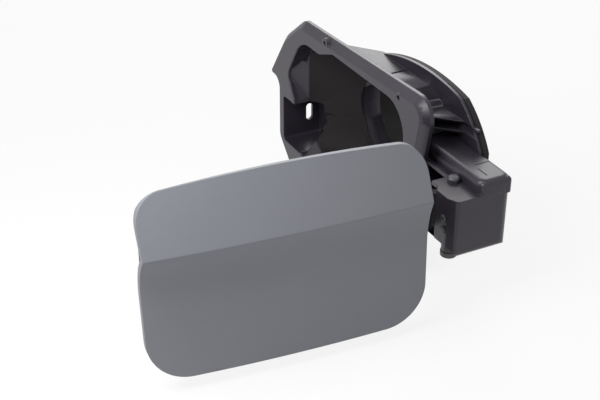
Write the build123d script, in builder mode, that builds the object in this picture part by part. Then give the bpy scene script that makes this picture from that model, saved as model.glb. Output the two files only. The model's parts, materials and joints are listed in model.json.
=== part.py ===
"""Car fuel door: a ridged outer door on a gooseneck hinge, with the moulded filler pot behind it."""

import os

from build123d import *

os.makedirs("parts", exist_ok=True)

# Frame: +X towards the hinge, -Y out of the car, +Z up, origin in the middle of the filler neck's hole.
# Every piece of the door is drawn shut, and is swung open about the pin at the end.

# Door outline, seen from outside
door_length = 178.0
door_height = 119.0
door_top_bow = 4.0
door_bottom_bow = 0.8
door_top_radius = 18.0
door_bottom_radius = 27.0
door_open_angle = 86.0

# Door section: a leaning upper face, a ridge and a hollow lower face, crowned along its length
ridge_height = 27.0
ridge_radius = 1.2
upper_lean = 0.52
hollow_height = 30.0
hollow_depth_free = 10.5
hollow_depth_hinge = 5.4
foot_out_free = 6.0
foot_out_hinge = 2.2
crown_free = 4.0
crown_hinge = 1.2
skin_thickness = 1.4
hem_depth = 4.5
hem_wall = 1.8
hem_clearance = 0.8

# Inner panel of the door
panel_gap = 0.15
panel_floor = 2.0
panel_rim = 3.0
panel_top = 50.0
panel_clearance = 3.0
cell_columns = 5
cell_rows = 4
cell_rib = 2.2
cell_radius = 3.0
tongue_thickness = 4.0
tongue_height = 15.0
tongue_length = 30.5
tongue_hole_radius = 3.0
tongue_from_mouth = 4.0

# Where the door, the hinge pin and the pot's flange stand to each other
flange_depth = 60.0
hinge_beyond_door = 33.5
hinge_behind_flange = 14.0
ridge_ahead_of_hinge = 36.0

# Front flange and mouth of the pot
wall = 2.5
skirt_depth = 2.5
slope_depth = 5.0
slope_width = 5.5
flange_over_top = 6.0
flange_top_fall = 6.3
flange_over_bottom = 10.5
flange_over_free = 14.0
flange_over_hinge = 11.0
flange_horn = 10.0
flange_horn_height = 20.0
flange_cut_width = 24.0
flange_cut_height = 20.0
flange_radius = 14.0
ear_reach = 20.0
ear_drop = 4.5
ear_start = 25.0
ear_bend_out = 5.0
ear_bend_height = 36.5
ear_bend_radius = 40.0
ear_radius = 7.0
ear_notch_radius = 4.0
mouth_lap_top = 7.5
mouth_lap_hinge = 6.5
mouth_lap_free = 17.0
mouth_step = 7.5
mouth_step_start = 38.0
mouth_step_end = 58.0
mouth_bulge = 12.0
mouth_radius = 22.0
mouth_small_radius = 10.0
mouth_edge_radius = 1.0
fixing_hole_radius = 1.75
fixing_pad_radius = 3.6
fixing_spacing = 100.0
fixing_from_hinge_edge = 14.0
fixing_above_mouth = 4.7

# Bowl, base and rear flange of the pot
bowl_draw_in = 8.0
bowl_flare = 11.5
bowl_radius = 26.0
bowl_back_y = -20.0
bowl_ramp = 37.0
well_radius = 37.5
base_y = -4.0
neck_hole_radius = 33.0
rear_flange_over = 9.7
rear_flange_reach = 23.0
rear_flange_peak = 41.0
rear_flange_fall = 4.2
rear_flange_margin = 4.0
rear_flange_drop = 11.0
groove_width = 2.0
groove_depth = 1.0
stiffener = 1.6
stiffener_low = 30.0
stiffener_pitch = 7.0
stiffener_reach = 25.0

# Latch pocket in the free end of the pot
pocket_depth = 32.0
pocket_height = 38.0
pocket_drop = 30.0
pocket_reach = 19.0
pocket_into_bowl = 10.0
lock_hole_length = 14.0
lock_hole_width = 5.6

# Hinge box: sizes from the pin's centre
box_top = 16.0
box_bottom = -26.0
box_right = 24.0
box_front = 12.0
box_nose = 3.5
keel = 7.5
bar_height = 8.0
bar_front = 5.0
bar_back = 28.0
bar_left = 32.5
bar_radius = 3.0
boss_radius = 5.2
boss_length = 9.0

# Gooseneck arm, pin and spring
pin_radius = 2.5
pin_clearance = 0.05
pin_head_radius = 4.2
pin_head_height = 3.6
pin_tail = 3.0
retainer_radius = 5.6
retainer_height = 4.0
hub_radius = 6.8
hub_flat = 0.9
hub_clearance = 0.6
arm_reach = 34.0
arm_depth = 8.0
arm_lead = 10.0
arm_thickness = 6.0
arm_low = -17.0
arm_high = 7.0
arm_bend = 9.0
arm_clearance = 1.5
slot_clearance = 4.0
foot_length = 40.0
foot_thickness = 4.0
screw_radius = 1.9
screw_head_radius = 4.0
screw_head_height = 2.6
screw_bite = 5.5
screw_clearance = 0.1
spring_thickness = 0.8
spring_clearance = 0.4
spring_low = -13.0
spring_high = 6.0
spring_bend = 2.0
spring_tip = 8.0
rivet_radius = 1.4
rivet_head_radius = 2.4
rivet_head_height = 1.3
rivet_low = -7.5
rivet_high = 0.8

# Rubber pieces and the cap holder
gasket_bore_radius = 29.0
gasket_lip = 2.5
gasket_overlap = 3.0
gasket_sleeve = 17.5
rubber_clearance = 0.05
seal_width = 5.0
seal_depth = 3.5
seal_beyond = 2.0
seal_clearance = 0.3
drain_bore_radius = 3.5
drain_wall = 2.0
drain_spout_wall = 1.5
drain_lip = 1.6
drain_length = 18.0
drain_y = -33.0
stop_radius = 4.0
stop_stem_radius = 2.0
stop_stem = 1.6
stop_clearance = 0.4
holder_radius = 13.0
holder_wall = 2.4
holder_height = 12.0
holder_base = 2.0
holder_gap = 17.0
holder_drop = 6.0
holder_peg_radius = 2.5
holder_peg = 5.0

# Places worked out from the values above
free_edge = -door_length / 2
hinge_edge = door_length / 2
half_height = door_height / 2
flange_y = -flange_depth
hinge_x = hinge_edge + hinge_beyond_door
hinge_y = flange_y + hinge_behind_flange
ridge_y = hinge_y - ridge_ahead_of_hinge
panel_back_y = flange_y - panel_clearance
mouth_top = half_height - mouth_lap_top
mouth_right = hinge_edge - mouth_lap_hinge
mouth_left = free_edge + mouth_lap_free
mouth_centre = (mouth_left + mouth_right) / 2
bowl_top = mouth_top - bowl_draw_in
bowl_y = flange_y + wall + bowl_flare
flange_top = half_height + flange_over_top
flange_bottom = -half_height - flange_over_bottom
flange_left = free_edge - flange_over_free
flange_right = hinge_edge + flange_over_hinge
pocket_left = mouth_left - pocket_reach
pocket_back_y = flange_y + pocket_depth
tongue_tip_y = panel_back_y + tongue_length
tongue_x = mouth_left + tongue_from_mouth
tongue_hole_y = tongue_tip_y - 1.6 * tongue_hole_radius
overrun = 2.0


def across(y):
    """Upright plane at this y, facing outwards: its own axes are X and Z."""
    return Plane.XZ.offset(-y)


def at_hinge(z):
    """Level plane at this height, centred on the hinge pin."""
    return Plane((hinge_x, hinge_y, z))


def outline(plane, inset, *places):
    """Face inside a rounded outline; each place is (first, second, radius), inset draws it in all round."""
    with BuildSketch(plane) as face:
        with BuildLine():
            FilletPolyline(
                *[place[:2] for place in places], radius=[place[2] for place in places], close=True
            )
        make_face()
        if inset:
            offset(amount=-inset)
    return face.sketch


# Door forms shared by the skin and the inner panel


def door_curve(behind, hollow_depth, foot_out):
    """Points of the door's section this far behind its outer face: top, ridge, hollow and bottom."""
    top = half_height + door_top_bow + overrun
    bottom = -half_height - door_bottom_bow - overrun
    face = ridge_y + behind
    return (
        (face + upper_lean * (top - ridge_height), top),
        (face, ridge_height),
        (face + hollow_depth, ridge_height - hollow_height),
        (face + hollow_depth - foot_out, bottom),
    )


def door_band(front, back):
    """The door's section between two depths behind its outer face, carried along the crown."""
    end = hinge_edge + overrun
    stations = (
        (-end, crown_free, hollow_depth_free, foot_out_free),
        (0, 0, (hollow_depth_free + hollow_depth_hinge) / 2, (foot_out_free + foot_out_hinge) / 2),
        (end, crown_hinge, hollow_depth_hinge, foot_out_hinge),
    )
    with BuildPart() as band:
        for x, crown, hollow_depth, foot_out in stations:
            near = door_curve(front + crown, hollow_depth, foot_out)
            far = door_curve(back + crown, hollow_depth, foot_out)
            with BuildSketch(Plane.YZ.offset(x)) as section:
                with BuildLine():
                    for top, ridge, hollow, bottom in (near, far):
                        Line(top, ridge)
                        lower = Line(bottom, hollow)
                        TangentArc(hollow, ridge, tangent=lower % 1)
                    Line(near[0], far[0])
                    Line(near[3], far[3])
                make_face()
                fillet(section.vertices().sort_by_distance(near[1])[0], ridge_radius)
        loft()
    return band.part


def door_outline(plane, inset):
    """The door's outline seen from outside, drawn in by inset on every side."""
    with BuildSketch(plane) as face:
        with BuildLine():
            ThreePointArc((free_edge, half_height), (0, half_height + door_top_bow), (hinge_edge, half_height))
            Line((hinge_edge, half_height), (hinge_edge, -half_height))
            ThreePointArc(
                (hinge_edge, -half_height), (0, -half_height - door_bottom_bow), (free_edge, -half_height)
            )
            Line((free_edge, -half_height), (free_edge, half_height))
        make_face()
        fillet(face.vertices().group_by(Axis.Y)[-1], door_top_radius)
        fillet(face.vertices().group_by(Axis.Y)[0], door_bottom_radius)
        if inset:
            offset(amount=-inset)
    return face.sketch


# Door skin: a thin ridged shell with its edge turned back all round

with BuildPart() as skin_hollow:
    add(door_band(skin_thickness, hem_depth + overrun))
    extrude(door_outline(Plane.XZ, hem_wall), amount=2 * flange_depth, mode=Mode.INTERSECT)

with BuildPart() as door_skin:
    add(door_band(0, hem_depth))
    extrude(door_outline(across(flange_y - hem_clearance), 0), amount=flange_depth, mode=Mode.INTERSECT)
    add(skin_hollow.part, mode=Mode.SUBTRACT)

# Places of the pieces that the inner panel carries

foot_right = hinge_x - arm_reach + arm_thickness / 2
foot_left = foot_right - foot_length
foot_z = (arm_low + arm_high) / 2
foot_height = arm_high - arm_low
foot_middle = (foot_left + foot_right) / 2
screw_inset = screw_head_radius + 1.5
screw_places = [
    (foot_left + screw_inset, arm_high - screw_inset),
    (foot_left + screw_inset, arm_low + screw_inset),
    (foot_middle + screw_inset, foot_z),
]
stop_low = -mouth_top - stop_radius
stop_places = [
    (mouth_left + stop_radius / 2, mouth_top - 2.2 * stop_radius),
    (mouth_right - mouth_radius, stop_low),
    (mouth_left + mouth_radius, stop_low),
]
holder_x = mouth_centre - holder_radius
holder_z = -holder_drop

# Inner panel: ribs between a floor that follows the skin and a flat back, with the latch tongue

panel_inset = hem_wall + panel_gap
cell_inset = panel_inset + panel_rim
cell_length = (door_length - 2 * cell_inset - (cell_columns - 1) * cell_rib) / cell_columns
cell_height = (door_height - 2 * cell_inset - (cell_rows - 1) * cell_rib) / cell_rows

with BuildPart() as panel_cells:
    with BuildSketch(across(panel_back_y)):
        with GridLocations(cell_length + cell_rib, cell_height + cell_rib, cell_columns, cell_rows):
            RectangleRounded(cell_length, cell_height, cell_radius)
        add(door_outline(Plane.XY, cell_inset), mode=Mode.INTERSECT)
        with Locations((0, panel_top - panel_rim + door_height)):
            Rectangle(2 * door_length, 2 * door_height, mode=Mode.SUBTRACT)
        with Locations((foot_middle, foot_z)):
            Rectangle(foot_length, foot_height, mode=Mode.SUBTRACT)
        with Locations((holder_x, holder_z)):
            Circle(holder_radius, mode=Mode.SUBTRACT)
        with Locations(*stop_places):
            Circle(stop_radius, mode=Mode.SUBTRACT)
        with Locations((tongue_x, -pocket_drop)):
            Rectangle(3 * tongue_thickness, tongue_height + 2 * cell_rib, mode=Mode.SUBTRACT)
    extrude(amount=flange_depth)
    add(door_band(skin_thickness + panel_floor, 2 * ridge_ahead_of_hinge), mode=Mode.INTERSECT)

with BuildPart() as door_inner_panel:
    add(door_band(skin_thickness, 2 * ridge_ahead_of_hinge))
    with BuildSketch(across(panel_back_y)):
        add(door_outline(Plane.XY, panel_inset))
        with Locations((0, panel_top + door_height)):
            Rectangle(2 * door_length, 2 * door_height, mode=Mode.SUBTRACT)
    extrude(amount=flange_depth, mode=Mode.INTERSECT)
    add(panel_cells.part, mode=Mode.SUBTRACT)
    with BuildSketch(Plane.YZ.offset(tongue_x - tongue_thickness / 2)):
        with Locations(((panel_back_y + tongue_tip_y) / 2, -pocket_drop)):
            Rectangle(tongue_length, tongue_height)
    extrude(amount=tongue_thickness)
    with BuildSketch(Plane.YZ.offset(tongue_x - tongue_thickness)):
        with Locations((tongue_hole_y, -pocket_drop)):
            Circle(tongue_hole_radius)
    extrude(amount=2 * tongue_thickness, mode=Mode.SUBTRACT)
    with BuildSketch(across(panel_back_y)):
        with Locations(*screw_places):
            Circle(screw_radius + screw_clearance)
    extrude(amount=screw_bite + screw_clearance, mode=Mode.SUBTRACT)
    with BuildSketch(across(panel_back_y)):
        with Locations(*stop_places):
            Circle(stop_stem_radius)
    extrude(amount=stop_stem, mode=Mode.SUBTRACT)
    with BuildSketch(across(panel_back_y)):
        with Locations((holder_x, holder_z)):
            Circle(holder_peg_radius + screw_clearance)
    extrude(amount=holder_peg + screw_clearance, mode=Mode.SUBTRACT)

# Gooseneck arm: a strap bent round the pot's edge, from the hub on the pin to a foot on the panel

cavity_floor = box_bottom + wall
cavity_roof = box_top - wall
foot_y = panel_back_y - hinge_y

with BuildPart() as hinge_arm:
    with BuildSketch(at_hinge(arm_low)):
        with BuildLine():
            FilletPolyline(
                (0, 0),
                (-arm_lead, arm_depth),
                (-arm_reach, arm_depth),
                (-arm_reach, foot_y),
                radius=arm_bend,
            )
        trace(line_width=arm_thickness)
    extrude(amount=foot_height)
    with BuildSketch(across(panel_back_y)):
        with Locations((foot_middle, foot_z)):
            RectangleRounded(foot_length, foot_height, 2 * cell_radius)
    extrude(amount=-foot_thickness)
    with BuildSketch(at_hinge(cavity_floor + hub_clearance)):
        Circle(hub_radius)
    extrude(amount=cavity_roof - cavity_floor - 2 * hub_clearance)
    with BuildSketch(at_hinge(cavity_floor)):
        for turn in (0, -door_open_angle):
            with PolarLocations(2 * hub_radius - hub_flat, 1, start_angle=turn):
                Rectangle(2 * hub_radius, 2 * hub_radius)
    extrude(amount=cavity_roof - cavity_floor, mode=Mode.SUBTRACT)
    with BuildSketch(at_hinge(cavity_floor)):
        Circle(pin_radius + pin_clearance)
    extrude(amount=cavity_roof - cavity_floor, mode=Mode.SUBTRACT)
    with BuildSketch(across(panel_back_y)):
        with Locations(*screw_places):
            Circle(screw_radius + screw_clearance)
    extrude(amount=-foot_thickness, mode=Mode.SUBTRACT)

with BuildPart() as arm_screws:
    with BuildSketch(across(panel_back_y + foot_thickness)):
        with Locations(*screw_places):
            Circle(screw_radius)
    extrude(amount=foot_thickness + screw_bite)
    with BuildSketch(across(panel_back_y + foot_thickness)):
        with Locations(*screw_places):
            Circle(screw_head_radius)
    extrude(amount=-screw_head_height)
    with BuildSketch(across(panel_back_y + foot_thickness + screw_head_height)):
        with Locations(*screw_places):
            RegularPolygon(screw_head_radius / 2, 6)
    extrude(amount=screw_head_height / 2, mode=Mode.SUBTRACT)

# Bump stops and the hook that holds the filler cap while the tank is filled

with BuildPart() as bump_stops:
    with BuildSketch(across(panel_back_y)):
        with Locations(*stop_places):
            Circle(stop_radius)
    extrude(amount=-(panel_clearance - stop_clearance))
    with BuildSketch(across(panel_back_y)):
        with Locations(*stop_places):
            Circle(stop_stem_radius)
    extrude(amount=stop_stem)

with BuildPart() as cap_holder:
    with BuildSketch(across(panel_back_y)):
        with Locations((holder_x, holder_z)):
            Circle(holder_radius)
    extrude(amount=-holder_base)
    with BuildSketch(across(panel_back_y + holder_base)):
        with Locations((holder_x, holder_z)):
            Circle(holder_radius)
            Circle(holder_radius - holder_wall, mode=Mode.SUBTRACT)
        with Locations((holder_x, holder_z + holder_radius)):
            Rectangle(holder_gap, 2 * holder_radius, mode=Mode.SUBTRACT)
    extrude(amount=-(holder_height - holder_base))
    with BuildSketch(across(panel_back_y)):
        with Locations((holder_x, holder_z)):
            Circle(holder_peg_radius)
    extrude(amount=holder_peg)

# Filler pot, front flange: a shallow dish with a sloped edge, an ear at the free end and the mouth

flange_places = (
    (free_edge + ear_start, flange_top - flange_top_fall, flange_radius),
    (flange_right + flange_horn, flange_top, flange_radius),
    (flange_right, flange_horn_height, flange_radius),
    (flange_right, flange_bottom + flange_cut_height, flange_radius),
    (flange_right - flange_cut_width, flange_bottom, flange_radius),
    (flange_left + flange_cut_height, flange_bottom, flange_radius),
    (flange_left, flange_bottom + flange_cut_height, flange_radius),
    (flange_left, -ear_drop, ear_notch_radius),
    (flange_left - ear_reach, -ear_drop, ear_radius),
    (free_edge - ear_bend_out, ear_bend_height, ear_bend_radius),
)
mouth_places = (
    (mouth_right, mouth_top, mouth_radius),
    (mouth_left + mouth_step_end, mouth_top, mouth_small_radius),
    (mouth_left + mouth_step_start, mouth_top - mouth_step, mouth_small_radius),
    (mouth_left + mouth_small_radius, mouth_top - mouth_step, mouth_radius),
    (mouth_left - mouth_bulge, mouth_small_radius, mouth_small_radius),
    (mouth_left, -mouth_small_radius, mouth_small_radius),
    (mouth_left, -mouth_top, mouth_radius),
    (mouth_right, -mouth_top, mouth_radius),
)
fixing_x = hinge_edge - fixing_from_hinge_edge
fixing_z = mouth_top + fixing_above_mouth
fixing_places = [(x, z) for x in (fixing_x - fixing_spacing, fixing_x) for z in (fixing_z, -fixing_z)]


def dish(inset, front, back):
    """The flange's outline drawn in by inset, between two depths, with its front edge sloped off."""
    with BuildPart() as form:
        extrude(outline(across(back), inset, *flange_places), amount=back - front)
        face = form.faces().sort_by(Axis.Y)[0]
        chamfer(face.edges(), length=slope_width - inset, length2=slope_depth - inset, reference=face)
    return form.part


skirt_y = flange_y + slope_depth + skirt_depth

with BuildPart() as flange:
    add(dish(0, flange_y, skirt_y))
    add(dish(wall, flange_y + wall, skirt_y + overrun), mode=Mode.SUBTRACT)
    with BuildSketch(across(flange_y)):
        with Locations(*fixing_places):
            Circle(fixing_pad_radius)
    extrude(amount=-2 * wall)
    extrude(outline(across(flange_y + 2 * wall), 0, *mouth_places), amount=4 * wall, mode=Mode.SUBTRACT)
    lip = flange.faces().sort_by(Axis.Y)[0].inner_wires().sort_by(SortBy.LENGTH)[-1]
    fillet(lip.edges(), mouth_edge_radius)
    with BuildSketch(across(flange_y + 3 * wall)):
        with Locations(*fixing_places):
            Circle(fixing_hole_radius)
    extrude(amount=4 * wall, mode=Mode.SUBTRACT)


# Bowl: it draws in behind the mouth, runs straight back, and ends in a round well with the neck's hole


def bowl_section(plane, grow, draw, left):
    """Rounded rectangle of the bowl, grown by a wall and drawn in from the mouth."""
    low = left + draw - grow
    high = mouth_right - draw + grow
    with BuildSketch(plane) as face:
        with Locations(((low + high) / 2, 0)):
            RectangleRounded(high - low, 2 * (mouth_top - draw + grow), bowl_radius + grow)
    return face.sketch


def bowl(grow, front, back):
    """The bowl's form: grow is the wall for the outside and nothing for the inside."""
    with BuildPart() as form:
        loft(
            [
                bowl_section(across(front), grow, 0, mouth_left - mouth_bulge),
                bowl_section(across(bowl_y), grow, bowl_draw_in, mouth_left - bowl_draw_in),
            ]
        )
        extrude(outline(across(0), -grow, *mouth_places), amount=2 * flange_depth, mode=Mode.INTERSECT)
        loft(
            [
                bowl_section(across(bowl_y), grow, bowl_draw_in, mouth_left - bowl_draw_in),
                bowl_section(across(back), grow, bowl_draw_in, mouth_left - bowl_draw_in + bowl_ramp),
            ]
        )
    return form.part


# Hinge box: a deep box round the gooseneck with a shelf, a raised hollow bar and a boss under the pin

box_left = mouth_right - bowl_draw_in - hinge_x
nose_left = arm_thickness / 2 + arm_clearance
nose_y = hinge_y - box_front - box_nose
bar_places = (
    (-bar_left, bar_front, bar_radius),
    (box_right, bar_front, bar_radius),
    (box_right, bar_back, bar_radius),
    (-bar_left, bar_back, bar_radius),
)
window_left = -arm_reach
window_right = -hub_radius

with BuildPart() as hinge_box:
    extrude(
        outline(
            at_hinge(box_bottom),
            0,
            (box_left, -box_front, 0),
            (nose_left - box_nose, -box_front, box_nose / 2),
            (nose_left, -box_front - box_nose, box_nose / 2),
            (box_right - 2 * box_nose, -box_front - box_nose, box_nose),
            (box_right, -box_front, box_nose),
            (box_right, bar_back, 2 * box_nose),
            (box_left, bar_back, 0),
        ),
        amount=box_top - box_bottom,
    )
    with BuildSketch(Plane.YZ.offset(hinge_x - 2 * arm_reach)):
        with BuildLine():
            Polyline(
                (nose_y - overrun, box_bottom + keel),
                (nose_y, box_bottom + keel),
                (nose_y + keel, box_bottom),
                (nose_y + keel, box_bottom - overrun),
                (nose_y - overrun, box_bottom - overrun),
                close=True,
            )
        make_face()
    extrude(amount=4 * arm_reach, mode=Mode.SUBTRACT)
    extrude(outline(at_hinge(box_top - wall), 0, *bar_places), amount=bar_height + wall)
    fillet(hinge_box.faces().sort_by(Axis.Z)[-1].edges(), bar_radius - 0.2)
    with BuildSketch(at_hinge(box_bottom)):
        Circle(boss_radius)
    extrude(amount=-boss_length)
    with BuildSketch(at_hinge(box_top - wall)):
        with Locations(((window_left + window_right) / 2, -box_front)):
            Rectangle(window_right - window_left, 2 * box_front)
    extrude(amount=2 * wall, mode=Mode.SUBTRACT)

# Filler pot: everything moulded in one, then hollowed; its rear flange clears both the bowl and the well

rear_half = max(bowl_top, well_radius + wall + rear_flange_margin)


def rear_outline(plane, shift, inset):
    """Outline of the rear flange: bowed above and below, with an upright edge on the hinge side."""
    right = hinge_edge + rear_flange_reach + shift
    left = shift - well_radius - wall - seal_width - rear_flange_margin
    rise = rear_half + wall + rear_flange_over
    start = left + bowl_draw_in
    with BuildSketch(plane) as face:
        with BuildLine():
            for side in (1, -1):
                ThreePointArc(
                    (start, side * (rear_half - rear_flange_drop)),
                    (mouth_centre + rear_flange_peak + shift, side * rise),
                    (right - bowl_radius, side * (rise - rear_flange_fall)),
                )
                ThreePointArc(
                    (right - bowl_radius, side * (rise - rear_flange_fall)),
                    (right - bowl_draw_in, side * (rear_half - bowl_draw_in)),
                    (right, side * (bowl_radius - overrun)),
                )
            Line((right, bowl_radius - overrun), (right, overrun - bowl_radius))
            ThreePointArc((start, rear_half - rear_flange_drop), (left, 0), (start, rear_flange_drop - rear_half))
        make_face()
        if inset:
            offset(amount=-inset)
    return face.sketch


rear_y = bowl_back_y + wall
pocket_width = pocket_reach + pocket_into_bowl
pocket_middle = pocket_left + pocket_width / 2
stiffener_end = mouth_right + stiffener_reach
rivet_x = (nose_left + box_right) / 2
rivet_places = [(hinge_x + rivet_x, rivet_low), (hinge_x + rivet_x, rivet_high)]
cavity_right = box_right - wall - overrun / 2
slot_left = -(arm_reach + arm_thickness / 2 + slot_clearance)

with BuildPart() as filler_pot:
    add(flange.part)
    add(bowl(wall, flange_y + wall, rear_y))
    with BuildSketch(across(base_y + wall)):
        Circle(well_radius + wall)
    extrude(amount=base_y + wall - rear_y + wall)
    extrude(rear_outline(across(rear_y), 0, 0), amount=wall)
    add(hinge_box.part)
    with BuildSketch(across(pocket_back_y + wall)):
        with Locations((pocket_middle, -pocket_drop)):
            Rectangle(pocket_width + 2 * wall, pocket_height + 2 * wall)
    extrude(amount=pocket_depth)
    for level in (stiffener_low, stiffener_low + stiffener_pitch):
        with BuildSketch(Plane.XY.offset(level)):
            with Locations(((mouth_centre + stiffener_end) / 2, (bowl_y + rear_y) / 2)):
                Rectangle(stiffener_end - mouth_centre, rear_y - bowl_y)
        extrude(amount=stiffener)
    add(bowl(0, flange_y + wall, bowl_back_y), mode=Mode.SUBTRACT)
    extrude(outline(across(flange_y + wall), 0, *mouth_places), amount=wall, mode=Mode.SUBTRACT)
    with BuildSketch(across(base_y)):
        Circle(well_radius)
    extrude(amount=base_y - bowl_back_y + wall, mode=Mode.SUBTRACT)
    with BuildSketch(across(base_y + 2 * wall)):
        Circle(neck_hole_radius)
    extrude(amount=4 * wall, mode=Mode.SUBTRACT)
    with BuildSketch(across(pocket_back_y)):
        with Locations((pocket_middle, -pocket_drop)):
            RectangleRounded(pocket_width, pocket_height, cell_radius)
    extrude(amount=pocket_depth + wall, mode=Mode.SUBTRACT)
    with BuildSketch(Plane.YZ.offset(pocket_left - 2 * wall)):
        with Locations((tongue_hole_y, -pocket_drop)):
            SlotOverall(lock_hole_length, lock_hole_width, rotation=90)
    extrude(amount=3 * wall, mode=Mode.SUBTRACT)
    extrude(
        outline(
            at_hinge(cavity_floor),
            0,
            (slot_left, -box_front - 3 * box_nose, 0),
            (nose_left, -box_front - 3 * box_nose, 0),
            (nose_left, keel - box_front - box_nose, 0),
            (cavity_right, keel - box_front - box_nose, 0),
            (cavity_right, bar_back - wall, box_nose),
            (slot_left, bar_back - wall, box_nose),
        ),
        amount=cavity_roof - cavity_floor,
        mode=Mode.SUBTRACT,
    )
    extrude(
        outline(
            at_hinge(box_bottom + keel + wall),
            0,
            (nose_left - overrun, wall - box_front - box_nose, 0),
            (cavity_right, wall - box_front - box_nose, 0),
            (cavity_right, keel + wall - box_front - box_nose, 0),
            (nose_left - overrun, keel + wall - box_front - box_nose, 0),
        ),
        amount=cavity_roof - box_bottom - keel - wall,
        mode=Mode.SUBTRACT,
    )
    extrude(outline(at_hinge(cavity_roof), wall, *bar_places), amount=bar_height, mode=Mode.SUBTRACT)
    with BuildSketch(at_hinge(box_bottom - boss_length)):
        Circle(pin_radius + pin_clearance)
    extrude(amount=boss_length + box_top - box_bottom, mode=Mode.SUBTRACT)
    with BuildSketch(across(nose_y + 2 * wall)):
        with Locations(*rivet_places):
            Circle(rivet_radius)
    extrude(amount=3 * wall, mode=Mode.SUBTRACT)
    with BuildSketch(Plane.XY.offset(-bowl_top - 2 * wall)):
        with Locations((0, drain_y)):
            Circle(drain_bore_radius + drain_wall)
    extrude(amount=3 * wall, mode=Mode.SUBTRACT)
    with BuildSketch(Plane.XY.offset(bowl_top + wall - groove_depth)):
        with Locations((mouth_centre + bowl_draw_in * 2, (bowl_y + bowl_back_y) / 2)):
            Rectangle(groove_width, bowl_back_y - bowl_y)
    extrude(amount=2 * groove_depth, mode=Mode.SUBTRACT)

# Hinge pin, its retainer under the boss, and the leaf spring that holds the door open or shut

with BuildPart() as hinge_pin:
    with BuildSketch(at_hinge(box_bottom - boss_length - pin_tail)):
        Circle(pin_radius)
    extrude(amount=pin_tail + boss_length + box_top - box_bottom)
    with BuildSketch(at_hinge(box_top)):
        Circle(pin_head_radius)
    extrude(amount=pin_head_height)
    fillet(hinge_pin.edges().sort_by(Axis.Z)[-1], pin_head_height / 2)

with BuildPart() as pin_retainer:
    with BuildSketch(at_hinge(box_bottom - boss_length)):
        Circle(retainer_radius)
    extrude(amount=-retainer_height)
    fillet(pin_retainer.edges().sort_by(Axis.Z)[0], retainer_height / 4)
    with BuildSketch(at_hinge(box_bottom - boss_length)):
        Circle(pin_radius)
    extrude(amount=-pin_tail, mode=Mode.SUBTRACT)

blade = hub_radius + spring_clearance + spring_thickness / 2
pad = wall - box_front - box_nose + spring_thickness / 2

with BuildPart() as spring_leaf:
    with BuildSketch(at_hinge(spring_low)):
        with BuildLine():
            FilletPolyline((cavity_right - spring_bend / 2, pad), (blade, pad), (blade, spring_tip), radius=spring_bend)
        trace(line_width=spring_thickness)
    extrude(amount=spring_high - spring_low)
    with BuildSketch(across(hinge_y)):
        with Locations(*rivet_places):
            Circle(rivet_radius)
    extrude(amount=hinge_behind_flange * 2, mode=Mode.SUBTRACT)

with BuildPart() as spring_rivets:
    with BuildSketch(across(hinge_y + pad + spring_thickness / 2)):
        with Locations(*rivet_places):
            Circle(rivet_radius)
    extrude(amount=wall + spring_thickness)
    with BuildSketch(across(nose_y)):
        with Locations(*rivet_places):
            Circle(rivet_head_radius)
    extrude(amount=rivet_head_height)
    fillet(spring_rivets.faces().group_by(Axis.Y)[0].edges(), rivet_head_height / 2)
    with BuildSketch(across(hinge_y + pad + spring_thickness / 2)):
        with Locations(*rivet_places):
            Circle(rivet_head_radius)
    extrude(amount=-rivet_head_height)

# Rubber pieces: rear lip, neck gasket and drain outlet

with BuildPart() as rear_seal:
    with BuildSketch(across(rear_y)):
        add(rear_outline(Plane.XY, seal_beyond, 0))
        add(rear_outline(Plane.XY, seal_beyond, seal_width), mode=Mode.SUBTRACT)
        with Locations((hinge_x, (box_top + box_bottom) / 2)):
            Rectangle(
                2 * hinge_beyond_door, box_top - box_bottom + 2 * seal_clearance, mode=Mode.SUBTRACT
            )
    extrude(amount=-seal_depth)

with BuildPart() as neck_gasket:
    with BuildSketch(Plane.XY):
        with BuildLine():
            Polyline(
                (gasket_bore_radius, base_y - 2 * gasket_lip),
                (neck_hole_radius, base_y - gasket_lip),
                (neck_hole_radius + gasket_overlap, base_y - gasket_lip),
                (neck_hole_radius + gasket_overlap, base_y),
                (neck_hole_radius - rubber_clearance, base_y),
                (neck_hole_radius - rubber_clearance, base_y + wall),
                (neck_hole_radius + gasket_overlap, base_y + wall),
                (neck_hole_radius + gasket_overlap, base_y + wall + gasket_lip),
                (neck_hole_radius, base_y + wall + gasket_lip),
                (neck_hole_radius - gasket_overlap / 4, base_y + wall + gasket_sleeve),
                (gasket_bore_radius, base_y + wall + gasket_sleeve),
                close=True,
            )
        make_face()
    revolve(axis=Axis.Y)

with BuildPart() as drain_nipple:
    with BuildSketch(Plane.XZ.offset(-drain_y)):
        with BuildLine():
            Polyline(
                (drain_bore_radius, -bowl_top + drain_lip),
                (drain_bore_radius + 2 * drain_wall, -bowl_top + drain_lip),
                (drain_bore_radius + 2 * drain_wall, -bowl_top),
                (drain_bore_radius + drain_wall - rubber_clearance, -bowl_top),
                (drain_bore_radius + drain_wall - rubber_clearance, -bowl_top - wall),
                (drain_bore_radius + 1.5 * drain_wall, -bowl_top - wall),
                (drain_bore_radius + drain_spout_wall, -bowl_top - wall - 2 * drain_lip),
                (drain_bore_radius + drain_spout_wall, -bowl_top - drain_length),
                (drain_bore_radius, -bowl_top - drain_length),
                close=True,
            )
        make_face()
    revolve(axis=Axis((0, drain_y, 0), (0, 0, 1)))

# Swing the door's pieces open about the pin, then write every piece

door_swing = Pos(hinge_x, hinge_y, 0) * Rot(0, 0, door_open_angle) * Pos(-hinge_x, -hinge_y, 0)
for piece in (door_skin, door_inner_panel, hinge_arm, arm_screws, bump_stops, cap_holder):
    piece.part.move(door_swing)

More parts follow.
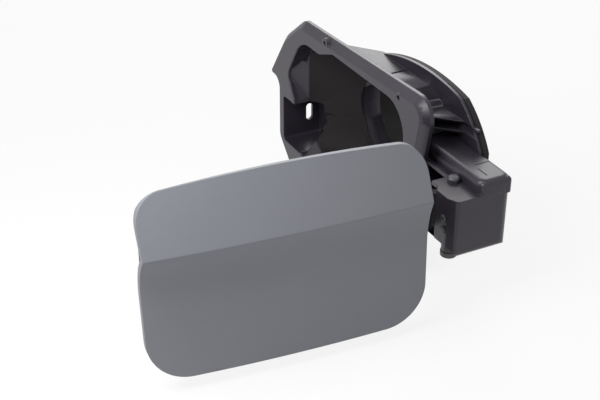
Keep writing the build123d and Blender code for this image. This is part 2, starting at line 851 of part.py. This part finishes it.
filler_pot.part.label = "filler_pot"
export_step(filler_pot.part, "parts/filler_pot.step")
hinge_pin.part.label = "hinge_pin"
export_step(hinge_pin.part, "parts/hinge_pin.step")
pin_retainer.part.label = "pin_retainer"
export_step(pin_retainer.part, "parts/pin_retainer.step")
spring_leaf.part.label = "spring_leaf"
export_step(spring_leaf.part, "parts/spring_leaf.step")
spring_rivets.part.label = "spring_rivets"
export_step(spring_rivets.part, "parts/spring_rivets.step")
rear_seal.part.label = "rear_seal"
export_step(rear_seal.part, "parts/rear_seal.step")
neck_gasket.part.label = "neck_gasket"
export_step(neck_gasket.part, "parts/neck_gasket.step")
drain_nipple.part.label = "drain_nipple"
export_step(drain_nipple.part, "parts/drain_nipple.step")
door_skin.part.label = "door_skin"
export_step(door_skin.part, "parts/door_skin.step")
door_inner_panel.part.label = "door_inner_panel"
export_step(door_inner_panel.part, "parts/door_inner_panel.step")
hinge_arm.part.label = "hinge_arm"
export_step(hinge_arm.part, "parts/hinge_arm.step")
arm_screws.part.label = "arm_screws"
export_step(arm_screws.part, "parts/arm_screws.step")
bump_stops.part.label = "bump_stops"
export_step(bump_stops.part, "parts/bump_stops.step")
cap_holder.part.label = "cap_holder"
export_step(cap_holder.part, "parts/cap_holder.step")
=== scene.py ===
# %% [markdown]
# # A car's fuel door and its filler pot
# The object is a ridged grey door on a gooseneck hinge, standing open beside the black moulded pot that
# it shuts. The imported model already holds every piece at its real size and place. This lesson dresses it:
# a camera, one finish for each material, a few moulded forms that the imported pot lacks, and a studio.

# %% Load the model and keep its box
import json
import math

import bpy
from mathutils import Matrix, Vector


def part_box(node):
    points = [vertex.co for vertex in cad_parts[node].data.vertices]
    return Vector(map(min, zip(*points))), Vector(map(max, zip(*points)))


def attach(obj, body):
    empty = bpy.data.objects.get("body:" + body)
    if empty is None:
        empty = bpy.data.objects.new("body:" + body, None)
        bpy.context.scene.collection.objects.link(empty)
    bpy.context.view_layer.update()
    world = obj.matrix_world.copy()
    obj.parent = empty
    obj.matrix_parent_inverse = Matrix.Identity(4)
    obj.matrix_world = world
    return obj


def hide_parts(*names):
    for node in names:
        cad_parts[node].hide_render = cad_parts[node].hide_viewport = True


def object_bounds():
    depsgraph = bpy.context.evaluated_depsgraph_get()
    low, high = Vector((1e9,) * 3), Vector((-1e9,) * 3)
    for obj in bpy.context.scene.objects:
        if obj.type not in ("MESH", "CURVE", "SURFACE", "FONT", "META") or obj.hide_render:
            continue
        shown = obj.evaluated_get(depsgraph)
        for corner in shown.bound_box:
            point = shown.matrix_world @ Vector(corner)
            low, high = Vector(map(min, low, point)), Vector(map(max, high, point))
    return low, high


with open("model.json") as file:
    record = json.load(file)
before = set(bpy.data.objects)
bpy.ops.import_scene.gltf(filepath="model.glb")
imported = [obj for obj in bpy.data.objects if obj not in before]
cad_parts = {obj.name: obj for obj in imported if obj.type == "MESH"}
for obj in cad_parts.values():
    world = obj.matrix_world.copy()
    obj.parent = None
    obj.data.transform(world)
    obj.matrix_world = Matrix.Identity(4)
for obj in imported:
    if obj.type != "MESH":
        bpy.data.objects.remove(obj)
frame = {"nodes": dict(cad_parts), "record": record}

MM = 0.001

cad_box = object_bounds()
nodes = frame["nodes"]
low_corner, high_corner = cad_box
print("pieces in the model:", ", ".join(sorted(nodes)))
print("size in mm:", [round(side / MM) for side in high_corner - low_corner])

# %% [markdown]
# ## The camera
# The photograph looks at the door's outer face from the right and from above, through a long lens that
# keeps edges nearly parallel. The camera could be aimed at an empty with a constraint. A place and two
# angles say the same without one more object, and each can be changed by itself.

# %% Place the camera
CAMERA_PLACE = (0.6649, -0.4308, 0.3852)
CAMERA_AZIMUTH = math.radians(63.0)
CAMERA_ELEVATION = math.radians(30.2)
CAMERA_LENS = 72.0
CAMERA_SENSOR = 36.0
CAMERA_NEAREST = 0.01


def set_up(thing, place, direction):
    """Put a camera or a lamp at a place, facing a direction."""
    bpy.context.collection.objects.link(thing)
    thing.location = place
    thing.rotation_mode = "QUATERNION"
    thing.rotation_quaternion = direction.to_track_quat("-Z", "Y")


towards_camera = Vector(
    (
        math.sin(CAMERA_AZIMUTH) * math.cos(CAMERA_ELEVATION),
        -math.cos(CAMERA_AZIMUTH) * math.cos(CAMERA_ELEVATION),
        math.sin(CAMERA_ELEVATION),
    )
)
camera = bpy.data.objects.new("camera", bpy.data.cameras.new("camera"))
camera.data.lens = CAMERA_LENS
camera.data.sensor_width = CAMERA_SENSOR
camera.data.clip_start = CAMERA_NEAREST
set_up(camera, CAMERA_PLACE, -towards_camera)
bpy.context.scene.camera = camera
bpy.context.scene.view_settings.view_transform = "Standard"
print("camera at", CAMERA_PLACE, "with a lens of", CAMERA_LENS, "mm")

# %% [markdown]
# ## Shader maths that reads like arithmetic
# A finish is a small network of nodes. Linking them one by one is slow to read later, so this class wraps
# a socket and lets Python's own signs stand for Math nodes.


# %% A socket that does arithmetic
class Shade:
    """One output socket of a node tree. Arithmetic on it adds Math nodes."""

    def __init__(self, owner, socket):
        self.owner = owner
        self.socket = socket

    def math(self, operation, first, second):
        return self.owner.node("ShaderNodeMath", {"operation": operation}, {0: first, 1: second})

    def __add__(self, other):
        return self.math("ADD", self, other)

    def __radd__(self, other):
        return self.math("ADD", other, self)

    def __sub__(self, other):
        return self.math("SUBTRACT", self, other)

    def __rsub__(self, other):
        return self.math("SUBTRACT", other, self)

    def __mul__(self, other):
        return self.math("MULTIPLY", self, other)

    def __rmul__(self, other):
        return self.math("MULTIPLY", other, self)

    def most(self, other):
        """The larger of two values."""
        return self.math("MAXIMUM", self, other)

    def root(self):
        """The square root."""
        return self.math("POWER", self, 0.5)

    def spread(self, low, high):
        """A value that goes from low to high as this one goes from 0 to 1."""
        return low + (high - low) * self


print("sockets can be added, subtracted and multiplied")

# %% [markdown]
# ## One way to add a node
# Every node is added by one method, which takes the node's type, its settings, and a number, colour or
# link for each socket. The same class also gives the masks that tell which rays look at a surface, for
# the white background later on.


# %% A node tree
class Nodes:
    """A node tree to which nodes are added one at a time."""

    def __init__(self, tree):
        self.tree = tree

    def node(self, kind, settings=None, sockets=None, out=0):
        """Add a node, set it up, fill its sockets, and give one of its outputs."""
        made = self.tree.nodes.new(kind)
        for key, value in (settings or {}).items():
            setattr(made, key, value)
        for key, value in (sockets or {}).items():
            self.feed(made.inputs[key], value)
        return Shade(self, made.outputs[out])

    def feed(self, socket, value):
        """Link a socket to a shade, or set it to a plain value."""
        if isinstance(value, Shade):
            self.tree.links.new(value.socket, socket)
        else:
            socket.default_value = value

    def rays(self):
        """Masks of the rays that come from the camera, off a gloss and through glass."""
        kinds = ("Is Camera Ray", "Is Glossy Ray", "Is Transmission Ray")
        return [self.node("ShaderNodeLightPath", out=kind) for kind in kinds]


print("node trees can be written as calls")

# %% [markdown]
# ## A finish
# A finish is a material for one kind of surface. Its helpers say what a maker sees: lumps of noise, a
# colour between two colours, edges that are a little round and rubbed, and a relief too fine to model.
# Patterns read Object coordinates, so that they stay on their piece when it moves.

# %% A material with helpers
EDGE_STARTS = 0.004
EDGE_IS_FULL = 0.12
EDGE_SAMPLES = 6


class Finish(Nodes):
    """A new material. Keywords set shader sockets that are the same all over, with _ for a space."""

    def __init__(self, name, **numbers):
        self.material = bpy.data.materials.new(name)
        self.material.use_nodes = True
        super().__init__(self.material.node_tree)
        self.shader = self.tree.nodes["Principled BSDF"]
        self.place = self.node("ShaderNodeTexCoord", out="Object")
        for socket, number in numbers.items():
            self.paint(socket.replace("_", " "), number)

    def axes(self):
        """The place along X, Y and Z, as three values."""
        sockets = {"Vector": self.place}
        return [self.node("ShaderNodeSeparateXYZ", sockets=sockets, out=axis) for axis in "XYZ"]

    def noise(self, size, detail=2.0, stretch=(1.0, 1.0, 1.0)):
        """Noise from 0 to 1 whose lumps are about this many metres across."""
        scale = [1.0 / (size * along) for along in stretch]
        place = self.node("ShaderNodeMapping", sockets={"Vector": self.place, "Scale": scale})
        return self.node("ShaderNodeTexNoise", sockets={"Vector": place, "Scale": 1.0, "Detail": detail})

    def between(self, value, low, high):
        """0 where value is under low, 1 over high, and smooth in between."""
        settings = {"interpolation_type": "SMOOTHSTEP"}
        return self.node("ShaderNodeMapRange", settings, {"Value": value, 1: low, 2: high})

    def blend(self, amount, first, second):
        """A colour between two colours."""
        settings = {"data_type": "RGBA"}
        return self.node("ShaderNodeMix", settings, {0: amount, 6: first, 7: second}, out=2)

    def soft_edges(self, radius):
        """The normal of edges rounded by radius, and a mask that is 1 on those edges."""
        rounded = self.node("ShaderNodeBevel", {"samples": EDGE_SAMPLES}, {"Radius": radius})
        flat = self.node("ShaderNodeNewGeometry", out="Normal")
        settings = {"operation": "DOT_PRODUCT"}
        along = self.node("ShaderNodeVectorMath", settings, {0: rounded, 1: flat}, out="Value")
        return rounded, self.between(1.0 - along, EDGE_STARTS, EDGE_IS_FULL)

    def relief(self, height, depth, normal):
        """Small bumps, depth metres high, on top of a normal."""
        sockets = {"Strength": 1.0, "Distance": depth, "Height": height, "Normal": normal}
        bump = self.node("ShaderNodeBump", sockets=sockets)
        self.paint("Normal", bump)
        return bump

    def surface(self, amount, other):
        """Another shader takes over from the first by an amount from 0 to 1."""
        first = Shade(self, self.shader.outputs[0])
        mixed = self.node("ShaderNodeMixShader", sockets={0: amount, 1: first, 2: other})
        self.feed(self.tree.nodes["Material Output"].inputs["Surface"], mixed)

    def paint(self, socket, value):
        """Fill a socket of the material's first shader."""
        self.feed(self.shader.inputs[socket], value)


print("finishes can be written as a maker sees them")

# %% [markdown]
# ## Grey primer on the door's skin
# The outer skin leaves the factory in a satin grey primer, to be painted with the car. Primer is never
# quite even: it has faint clouds where the spray overlapped, an orange-peel ripple a millimetre or two
# across, and specks of dust. The ripple is so shallow that it only shows where a light is mirrored, so it
# is a bump and not a shape.


# %% Primer
def primer_finish():
    deep = (0.172, 0.179, 0.202, 1.0)
    pale = (0.197, 0.204, 0.228, 1.0)
    dust = (0.30, 0.30, 0.32, 1.0)
    rubbed = (0.27, 0.27, 0.29, 1.0)
    dust_share = 0.25
    dust_height = 0.3
    rubbed_share = 0.25
    finish = Finish("grey_primer", Specular_IOR_Level=0.5)
    clouds = finish.noise(size=60.0 * MM, detail=3.0)
    specks = finish.between(finish.noise(size=0.6 * MM, detail=1.0), low=0.68, high=0.78)
    ripple = finish.noise(size=2.2 * MM, detail=1.0)
    normal, edge = finish.soft_edges(radius=0.6 * MM)
    body = finish.blend(clouds, deep, pale)
    dusty = finish.blend(dust_share * specks, body, dust)
    finish.paint("Base Color", finish.blend(rubbed_share * edge, dusty, rubbed))
    finish.paint("Roughness", clouds.spread(low=0.42, high=0.54))
    finish.relief(ripple + dust_height * specks, depth=0.02 * MM, normal=normal)
    return finish.material


primer = primer_finish()
print("made", primer.name)

# %% [markdown]
# ## Where the bowl is
# Deep in the pot's bowl shade is painted in: a darker shader that mirrors next to nothing stands in for
# the shade that falls there. That needs a mask that is 1 inside the bowl. It could be painted on the mesh,
# but the bowl is a rounded rectangle seen from the front, so the distance from the centres of its corners
# gives the mask as a formula. Two more steps keep it between the lip and the pot's back.

# %% A mask for the painted shade in the bowl
BOWL_LIP = -0.056
BOWL_BACK = -0.0195
BOWL_CORNER_RIGHT = 0.0485
BOWL_CORNER_FREE = -0.046
BOWL_CORNER_RISE = 0.018
BOWL_ROUND = 0.0277
BOWL_FADE = 0.001
LIP_FADE = 0.01


def bowl_shade_mask(finish):
    """1 inside the bowl, where shade is painted, and 0 outside it."""
    across, inwards, upwards = finish.axes()
    sideways = (across - BOWL_CORNER_RIGHT).most(BOWL_CORNER_FREE - across).most(0.0)
    level = upwards.most(0.0 - upwards)
    rise = (level - BOWL_CORNER_RISE).most(0.0)
    from_corner = (sideways * sideways + rise * rise).root()
    outside = finish.between(from_corner, low=BOWL_ROUND - BOWL_FADE, high=BOWL_ROUND)
    behind = finish.between(inwards, low=BOWL_BACK, high=BOWL_BACK + BOWL_FADE)
    past_lip = finish.between(inwards, low=BOWL_LIP, high=BOWL_LIP + LIP_FADE)
    return past_lip * (1.0 - behind) * (1.0 - outside)


# The matt part of the bowl is painted shade, from the lip to the pot's back.
print("the matt part of the bowl is", round((BOWL_BACK - BOWL_LIP) / MM, 1), "mm deep")

# %% [markdown]
# ## Black moulded plastic of the pot
# The pot is one large moulding in black plastic. Its mould was spark-eroded, which leaves a fine grain
# that scatters light, so black plastic looks dark grey wherever a lamp is reflected. Edges that have been
# handled are rubbed smoother and a little paler. Inside the bowl a second shader, darker and matt, is
# painted shade.


# %% Pot plastic
def pot_plastic_finish():
    deep = (0.024, 0.019, 0.028, 1.0)
    pale = (0.036, 0.030, 0.042, 1.0)
    rubbed = (0.065, 0.060, 0.070, 1.0)
    painted_shade_black = (0.018, 0.015, 0.017, 1.0)
    rubbed_share = 0.5
    rubbed_gloss = 0.05
    finish = Finish("pot_plastic", Specular_IOR_Level=0.42)
    grain = finish.noise(size=0.8 * MM)
    flow = finish.noise(size=30.0 * MM, detail=3.0, stretch=(1.0, 2.5, 0.6))
    normal, edge = finish.soft_edges(radius=0.8 * MM)
    body = finish.blend(flow, deep, pale)
    finish.paint("Base Color", finish.blend(rubbed_share * edge, body, rubbed))
    finish.paint("Roughness", flow.spread(low=0.32, high=0.40) - rubbed_gloss * edge)
    bump = finish.relief(grain, depth=0.03 * MM, normal=normal)
    # Painted shade: a darker, duller shader inside the bowl stands in for the shade that falls there.
    painted_shade_sockets = {"Base Color": painted_shade_black, "Roughness": 0.7, "Specular IOR Level": 0.15, "Normal": bump}
    matt = finish.node("ShaderNodeBsdfPrincipled", sockets=painted_shade_sockets)
    finish.surface(bowl_shade_mask(finish), matt)
    return finish.material


pot_plastic = pot_plastic_finish()
print("made", pot_plastic.name)

# %% [markdown]
# ## Black filled nylon of the inner panel and the arm
# The door's inner panel, its gooseneck arm and the cap hook carry load, so they are moulded in nylon
# filled with short glass fibres. The fibres lie along the flow and show as faint grey streaks in a drier
# black, so the noise that makes them is stretched one way.


# %% Panel plastic
def panel_plastic_finish():
    deep = (0.016, 0.016, 0.017, 1.0)
    pale = (0.034, 0.034, 0.036, 1.0)
    rubbed = (0.055, 0.055, 0.058, 1.0)
    rubbed_share = 0.4
    rubbed_gloss = 0.08
    fibre_height = 0.5
    finish = Finish("panel_plastic", Specular_IOR_Level=0.45)
    fibres = finish.noise(size=1.2 * MM, detail=3.0, stretch=(1.0, 6.0, 1.0))
    streaks = finish.between(fibres, low=0.55, high=0.75)
    grain = finish.noise(size=0.6 * MM)
    normal, edge = finish.soft_edges(radius=0.6 * MM)
    body = finish.blend(streaks, deep, pale)
    finish.paint("Base Color", finish.blend(rubbed_share * edge, body, rubbed))
    finish.paint("Roughness", streaks.spread(low=0.50, high=0.64) - rubbed_gloss * edge)
    finish.relief(grain + fibre_height * fibres, depth=0.03 * MM, normal=normal)
    return finish.material


panel_plastic = panel_plastic_finish()
print("made", panel_plastic.name)

# %% [markdown]
# ## Rubber
# The lip, the neck's gasket, the stops and the drain outlet are soft black rubber. It has next to no
# gloss, and a pale bloom lies on it here and there. A smooth step through noise gathers that bloom into
# patches.


# %% Rubber
def rubber_finish():
    deep = (0.010, 0.010, 0.010, 1.0)
    pale = (0.024, 0.024, 0.024, 1.0)
    rubbed = (0.04, 0.04, 0.04, 1.0)
    rubbed_share = 0.3
    finish = Finish("black_rubber", Specular_IOR_Level=0.3)
    bloom = finish.between(finish.noise(size=12.0 * MM, detail=4.0), low=0.45, high=0.75)
    grain = finish.noise(size=0.7 * MM, detail=3.0)
    normal, edge = finish.soft_edges(radius=0.5 * MM)
    body = finish.blend(bloom, deep, pale)
    finish.paint("Base Color", finish.blend(rubbed_share * edge, body, rubbed))
    finish.paint("Roughness", bloom.spread(low=0.68, high=0.83))
    finish.relief(grain, depth=0.04 * MM, normal=normal)
    return finish.material


rubber = rubber_finish()
print("made", rubber.name)

# %% [markdown]
# ## Steel, blackened and bright
# The hinge pin, its cap and the rivets are blackened steel, dull with a few rubbed spots. The leaf spring
# and the arm's screws are bright steel with drawn lines along them, which are noise stretched far along
# one axis.


# %% Blackened steel
def dark_steel_finish():
    deep = (0.050, 0.050, 0.054, 1.0)
    pale = (0.105, 0.104, 0.110, 1.0)
    rubbed = (0.24, 0.24, 0.25, 1.0)
    rubbed_share = 0.6
    finish = Finish("dark_steel", Metallic=0.6)
    blotches = finish.noise(size=4.0 * MM, detail=4.0)
    grain = finish.noise(size=0.8 * MM)
    normal, edge = finish.soft_edges(radius=0.4 * MM)
    body = finish.blend(blotches, deep, pale)
    finish.paint("Base Color", finish.blend(rubbed_share * edge, body, rubbed))
    finish.paint("Roughness", blotches.spread(low=0.34, high=0.50))
    finish.relief(grain, depth=0.02 * MM, normal=normal)
    return finish.material


dark_steel = dark_steel_finish()
print("made", dark_steel.name)


# %% Bright steel
def bright_steel_finish():
    deep = (0.46, 0.46, 0.47, 1.0)
    pale = (0.62, 0.62, 0.64, 1.0)
    rubbed = (0.75, 0.75, 0.77, 1.0)
    rubbed_share = 0.4
    finish = Finish("bright_steel", Metallic=1.0)
    drawn = finish.noise(size=0.4 * MM, stretch=(1.0, 1.0, 18.0))
    normal, edge = finish.soft_edges(radius=0.3 * MM)
    body = finish.blend(drawn, deep, pale)
    finish.paint("Base Color", finish.blend(rubbed_share * edge, body, rubbed))
    finish.paint("Roughness", drawn.spread(low=0.24, high=0.40))
    finish.relief(drawn, depth=0.01 * MM, normal=normal)
    return finish.material


bright_steel = bright_steel_finish()
print("made", bright_steel.name)

# %% [markdown]
# ## Cutting a copy of the pot
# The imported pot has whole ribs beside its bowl, and its hinge box is square underneath. On the real
# moulding the ribs are small gussets against the rear flange, and the box is rounded underneath so that
# it leaves the mould. Such forms could be sculpted, but cutting them out of a copy with simple tools is
# exact and easy to change. The copy stands for the pot and keeps its place. Cutters are sized in
# millimetres.


# %% Tools for cutting
def alone(piece):
    """Make this the only selected piece, and the active one."""
    bpy.ops.object.select_all(action="DESELECT")
    piece.select_set(True)
    bpy.context.view_layer.objects.active = piece


def block(name, low, high):
    """A block between two corners in millimetres, to be shaped further."""
    bpy.ops.object.select_all(action="DESELECT")
    middle = [(start + end) / 2 * MM for start, end in zip(low, high)]
    bpy.ops.mesh.primitive_cube_add(size=1.0, location=middle)
    piece = bpy.context.object
    piece.name = name
    piece.scale = [(end - start) * MM for start, end in zip(low, high)]
    bpy.ops.object.transform_apply(location=True, rotation=True, scale=True)
    return piece


def carve(piece, tool):
    """Cut a tool out of a piece, and put the tool away."""
    alone(piece)
    cut = piece.modifiers.new("carve", "BOOLEAN")
    cut.operation = "DIFFERENCE"
    cut.solver = "EXACT"
    cut.object = tool
    bpy.ops.object.modifier_apply(modifier=cut.name)
    bpy.data.objects.remove(tool, do_unlink=True)


print("blocks can be made, and cut out of a piece")

# %% [markdown]
# ## A merged copy
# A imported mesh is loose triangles, which share no points. A cut needs a closed shape, so the points that
# lie on each other are merged first.

# %% Copy the pot and merge its points
MERGE_WITHIN = 0.001 * MM

pot = bpy.data.objects.new("filler_pot_moulding", nodes["filler_pot"].data.copy())
bpy.context.collection.objects.link(pot)
alone(pot)
bpy.ops.object.mode_set(mode="EDIT")
bpy.ops.mesh.select_all(action="SELECT")
bpy.ops.mesh.remove_doubles(threshold=MERGE_WITHIN)
bpy.ops.object.mode_set(mode="OBJECT")
print("the pot's copy has", len(pot.data.vertices), "points")

# %% [markdown]
# ## Gussets
# A gusset is a triangle of rib in the corner between the bowl and the rear flange. One block cuts all the
# ribs at once: its corner is sliced off along the gussets' slope, and what is left takes the rest of the
# ribs.

# %% Trim the ribs to gussets
RIB_FRONT = -46.6
RIB_RIGHT = 111.0
RIB_BOTTOM = 28.0
RIB_TOP = 42.0
GUSSET_LEFT = 78.0
GUSSET_RIGHT = 90.0
GUSSET_FRONT = -34.5
FLANGE_FACE = -20.0

rib_cutter = block("rib_cutter", (GUSSET_LEFT, RIB_FRONT, RIB_BOTTOM), (RIB_RIGHT, FLANGE_FACE, RIB_TOP))
alone(rib_cutter)
bpy.ops.object.mode_set(mode="EDIT")
bpy.ops.mesh.select_all(action="SELECT")
bpy.ops.mesh.bisect(
    plane_co=(GUSSET_LEFT * MM, GUSSET_FRONT * MM, RIB_BOTTOM * MM),
    plane_no=(FLANGE_FACE - GUSSET_FRONT, GUSSET_LEFT - GUSSET_RIGHT, 0.0),
    use_fill=True,
    clear_inner=True,
)
bpy.ops.object.mode_set(mode="OBJECT")
carve(pot, rib_cutter)
print("ribs trimmed, the pot now has", len(pot.data.vertices), "points")

# %% [markdown]
# ## The hinge box's foot
# The box's lower outer edge is round. A bevel would need that one edge found among thousands, so a block
# with a round bite out of it takes the corner away instead. The bite is shifted outwards a little,
# because a cut that crosses the box's faces is cleaner than one that just touches them.

# %% Round the hinge box underneath
BOX_RIGHT = 146.5
BOX_BACK = -18.0
BOX_BOTTOM = -26.0
BOX_MIDDLE = -42.0
BEFORE_BOX = -66.0
BEYOND = 1.0
FOOT_RADIUS = 6.0
FOOT_SHIFT = 0.1
BITE_SIDES = 64
BITE_LENGTH = 200.0

foot_left = BOX_RIGHT - FOOT_RADIUS
foot_top = BOX_BOTTOM + FOOT_RADIUS
foot_cutter = block(
    "foot_cutter",
    (foot_left, BEFORE_BOX, BOX_BOTTOM - BEYOND),
    (BOX_RIGHT + BEYOND, BOX_BACK + BEYOND, foot_top),
)
bpy.ops.object.select_all(action="DESELECT")
bpy.ops.mesh.primitive_cylinder_add(
    vertices=BITE_SIDES,
    radius=FOOT_RADIUS * MM,
    depth=BITE_LENGTH * MM,
    location=((foot_left + FOOT_SHIFT) * MM, BOX_MIDDLE * MM, (foot_top - FOOT_SHIFT) * MM),
    rotation=(math.pi / 2, 0.0, 0.0),
)
bpy.ops.object.transform_apply(location=True, rotation=True, scale=True)
carve(foot_cutter, bpy.context.object)
carve(pot, foot_cutter)
print("foot rounded, the pot now has", len(pot.data.vertices), "points")

# %% [markdown]
# ## Even shading
# After the cuts a flat wall is a fan of thin triangles, and smooth shading shows each of them as a
# blotch. So slivers are welded, triangles that lie in one plane are joined, and only gentle corners are
# shaded smooth, with the large faces deciding the normals.

# %% Shade the pot evenly
WELD_WITHIN = 0.005 * MM
FLAT_WITHIN = math.radians(0.6)
SHARP_OVER = math.radians(28.0)
LARGE_FACES_DECIDE = 100


def even_shading(piece):
    """Weld slivers, join the triangles of flat faces, then shade flat faces flat and round ones smooth."""
    alone(piece)
    bpy.ops.object.mode_set(mode="EDIT")
    bpy.ops.mesh.select_all(action="SELECT")
    bpy.ops.mesh.remove_doubles(threshold=WELD_WITHIN)
    bpy.ops.mesh.dissolve_limited(angle_limit=FLAT_WITHIN)
    bpy.ops.object.mode_set(mode="OBJECT")
    bpy.ops.object.shade_smooth_by_angle(angle=SHARP_OVER)
    weighted = piece.modifiers.new("flat_faces_first", "WEIGHTED_NORMAL")
    weighted.mode = "FACE_AREA"
    weighted.weight = LARGE_FACES_DECIDE
    weighted.keep_sharp = True
    bpy.ops.object.modifier_apply(modifier=weighted.name)


even_shading(pot)
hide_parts("filler_pot")
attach(pot, "housing")
print(pot.name, "has", len(pot.data.polygons), "faces")

# %% [markdown]
# ## The bar over the hinge box
# A rounded bar runs from the bowl to the outer corner of the box and stiffens it. It is shaped from a
# block: the edges that the mould rounds are bevelled, and two thin slits are cut in its top. Edges are
# found by where their middles are.

# %% Shape the bar
BAR_LOW = (75.6, -42.0, 15.0)
BAR_HIGH = (146.7, -17.8, 25.0)
BAR_HALFWAY_UP = (BAR_LOW[2] + BAR_HIGH[2]) / 2
BAR_END_ROUND = 7.0
BAR_TOP_ROUND = 4.5
NEAR = 0.1


def at_outer_end(middle):
    """True for the two upright edges at the bar's outer end."""
    return middle.x > BAR_HIGH[0] - NEAR and abs(middle.z - BAR_HALFWAY_UP) < NEAR


def round_the_top(middle):
    """True for the edges of the bar's top, apart from the one against the bowl."""
    return middle.z > BAR_HIGH[2] - NEAR and middle.x > BAR_LOW[0] + NEAR


def bevel_edges(piece, wanted, radius, segments):
    """Round the edges whose middle is wanted."""
    alone(piece)
    bpy.ops.object.mode_set(mode="EDIT")
    bpy.ops.mesh.select_mode(type="EDGE")
    bpy.ops.mesh.select_all(action="DESELECT")
    bpy.ops.object.mode_set(mode="OBJECT")
    points = piece.data.vertices
    for edge in piece.data.edges:
        ends = [points[index].co for index in edge.vertices]
        edge.select = wanted(sum(ends, Vector()) / 2 / MM)
    bpy.ops.object.mode_set(mode="EDIT")
    bpy.ops.mesh.bevel(offset=radius * MM, segments=segments, affect="EDGES")
    bpy.ops.object.mode_set(mode="OBJECT")


bar = block("hinge_box_bar", BAR_LOW, BAR_HIGH)
bevel_edges(bar, at_outer_end, BAR_END_ROUND, segments=8)
bevel_edges(bar, round_the_top, BAR_TOP_ROUND, segments=6)
print("bar rounded to", len(bar.data.polygons), "faces")

# %% Cut the slits
SLITS = (
    ((124.0, -32.0, 24.5), (124.5, -21.0, 26.0)),
    ((129.0, -33.3, 24.5), (139.0, -32.8, 26.0)),
)

for low, high in SLITS:
    carve(bar, block("slit", low, high))
even_shading(bar)
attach(bar, "housing")
print(bar.name, "has", len(bar.data.polygons), "faces")

# %% [markdown]
# ## Dress the pieces
# The record names a material slot for every piece, so the finish is looked up by slot and no piece is
# missed. The two pieces made here are of the pot's plastic.

# %% Give every piece its finish
FINISH_OF_SLOT = {
    "primer": primer,
    "pot_plastic": pot_plastic,
    "panel_plastic": panel_plastic,
    "rubber": rubber,
    "dark_steel": dark_steel,
    "bright_steel": bright_steel,
}


def dress(piece, slot):
    """Give a piece the finish of a slot and no other."""
    piece.data.materials.clear()
    piece.data.materials.append(FINISH_OF_SLOT[slot])
    print(piece.name, "is in", slot)


for subpart in frame["record"]["subparts"]:
    dress(nodes[subpart["node"]], subpart["material_slot"])
for piece in (pot, bar):
    dress(piece, "pot_plastic")

# %% [markdown]
# ## The floor
# The photograph is cut out on white. A pale floor under the object keeps a soft shadow. It glows white
# only for rays from the camera, off a gloss or through glass, so that the gloss of black plastic shows a
# white room while the white adds no light to the object.

# %% Floor
FLOOR_SIZE = 12.0
FLOOR_GLOW = 0.86
bpy.ops.object.select_all(action="DESELECT")
bpy.ops.mesh.primitive_plane_add(size=FLOOR_SIZE, location=(0.0, 0.0, low_corner.z))
floor = bpy.context.object
floor.name = "studio_floor"
bpy.ops.object.transform_apply(location=True)


def floor_finish():
    pale = (0.9, 0.9, 0.9, 1.0)
    white = (1.0, 1.0, 1.0, 1.0)
    finish = Finish("floor_white", Roughness=0.9, Specular_IOR_Level=0.0, Base_Color=pale)
    camera_ray, mirrored_ray, through_ray = finish.rays()
    glow = finish.node("ShaderNodeEmission", sockets={"Color": white, "Strength": 1.0})
    finish.surface(FLOOR_GLOW * camera_ray + mirrored_ray + through_ray, glow)
    return finish.material


floor.data.materials.append(floor_finish())
print("floor at z =", round(low_corner.z / MM, 1), "mm")

# %% [markdown]
# ## The sky
# The sky is white for the same rays as the floor. For the rest it is much dimmer, and that dim light
# fills the shadows from all sides.

# %% Sky
SKY_LIGHT = 0.32
SKY_WHITE = (1.0, 1.0, 1.0, 1.0)
world = bpy.data.worlds.new("studio_sky")
bpy.context.scene.world = world
world.use_nodes = True
sky = Nodes(world.node_tree)
background = world.node_tree.nodes["Background"]
camera_ray, mirrored_ray, through_ray = sky.rays()
sky.feed(background.inputs["Color"], SKY_WHITE)
seen = camera_ray + mirrored_ray + through_ray
sky.feed(background.inputs["Strength"], SKY_LIGHT + (1.0 - SKY_LIGHT) * seen)
print("sky gives", SKY_LIGHT, "of white light")

# %% [markdown]
# ## The lamps
# Two square lamps make the photograph's soft light. The key lamp is near the door's free end and over it,
# so the door is brighter there and fades towards the hinge. The back lamp is larger and stands far off
# behind the pot, where it puts a sheen on the pot's upper faces.

# %% Lamps
KEY_PLACE = (0.15, -0.38, 0.32)
KEY_SIZE = 0.25
KEY_WATTS = 1.9
BACK_PLACE = (-0.9, 0.47, 0.65)
BACK_SIZE = 0.8
BACK_WATTS = 7.0


def soft_lamp(name, place, target, size, watts):
    """A square lamp that faces its target and is not seen itself."""
    lamp = bpy.data.objects.new(name, bpy.data.lights.new(name, "AREA"))
    lamp.data.shape = "SQUARE"
    lamp.data.size = size
    lamp.data.energy = watts
    lamp.visible_camera = False
    set_up(lamp, place, Vector(target) - Vector(place))
    print(name, "gives", watts, "W")


door_middle = (sum(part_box("door_skin"), Vector()) / 2).to_tuple()
pot_middle = (sum(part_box("filler_pot"), Vector()) / 2).to_tuple()
soft_lamp("key_lamp", KEY_PLACE, door_middle, KEY_SIZE, KEY_WATTS)
soft_lamp("back_lamp", BACK_PLACE, pot_middle, BACK_SIZE, BACK_WATTS)
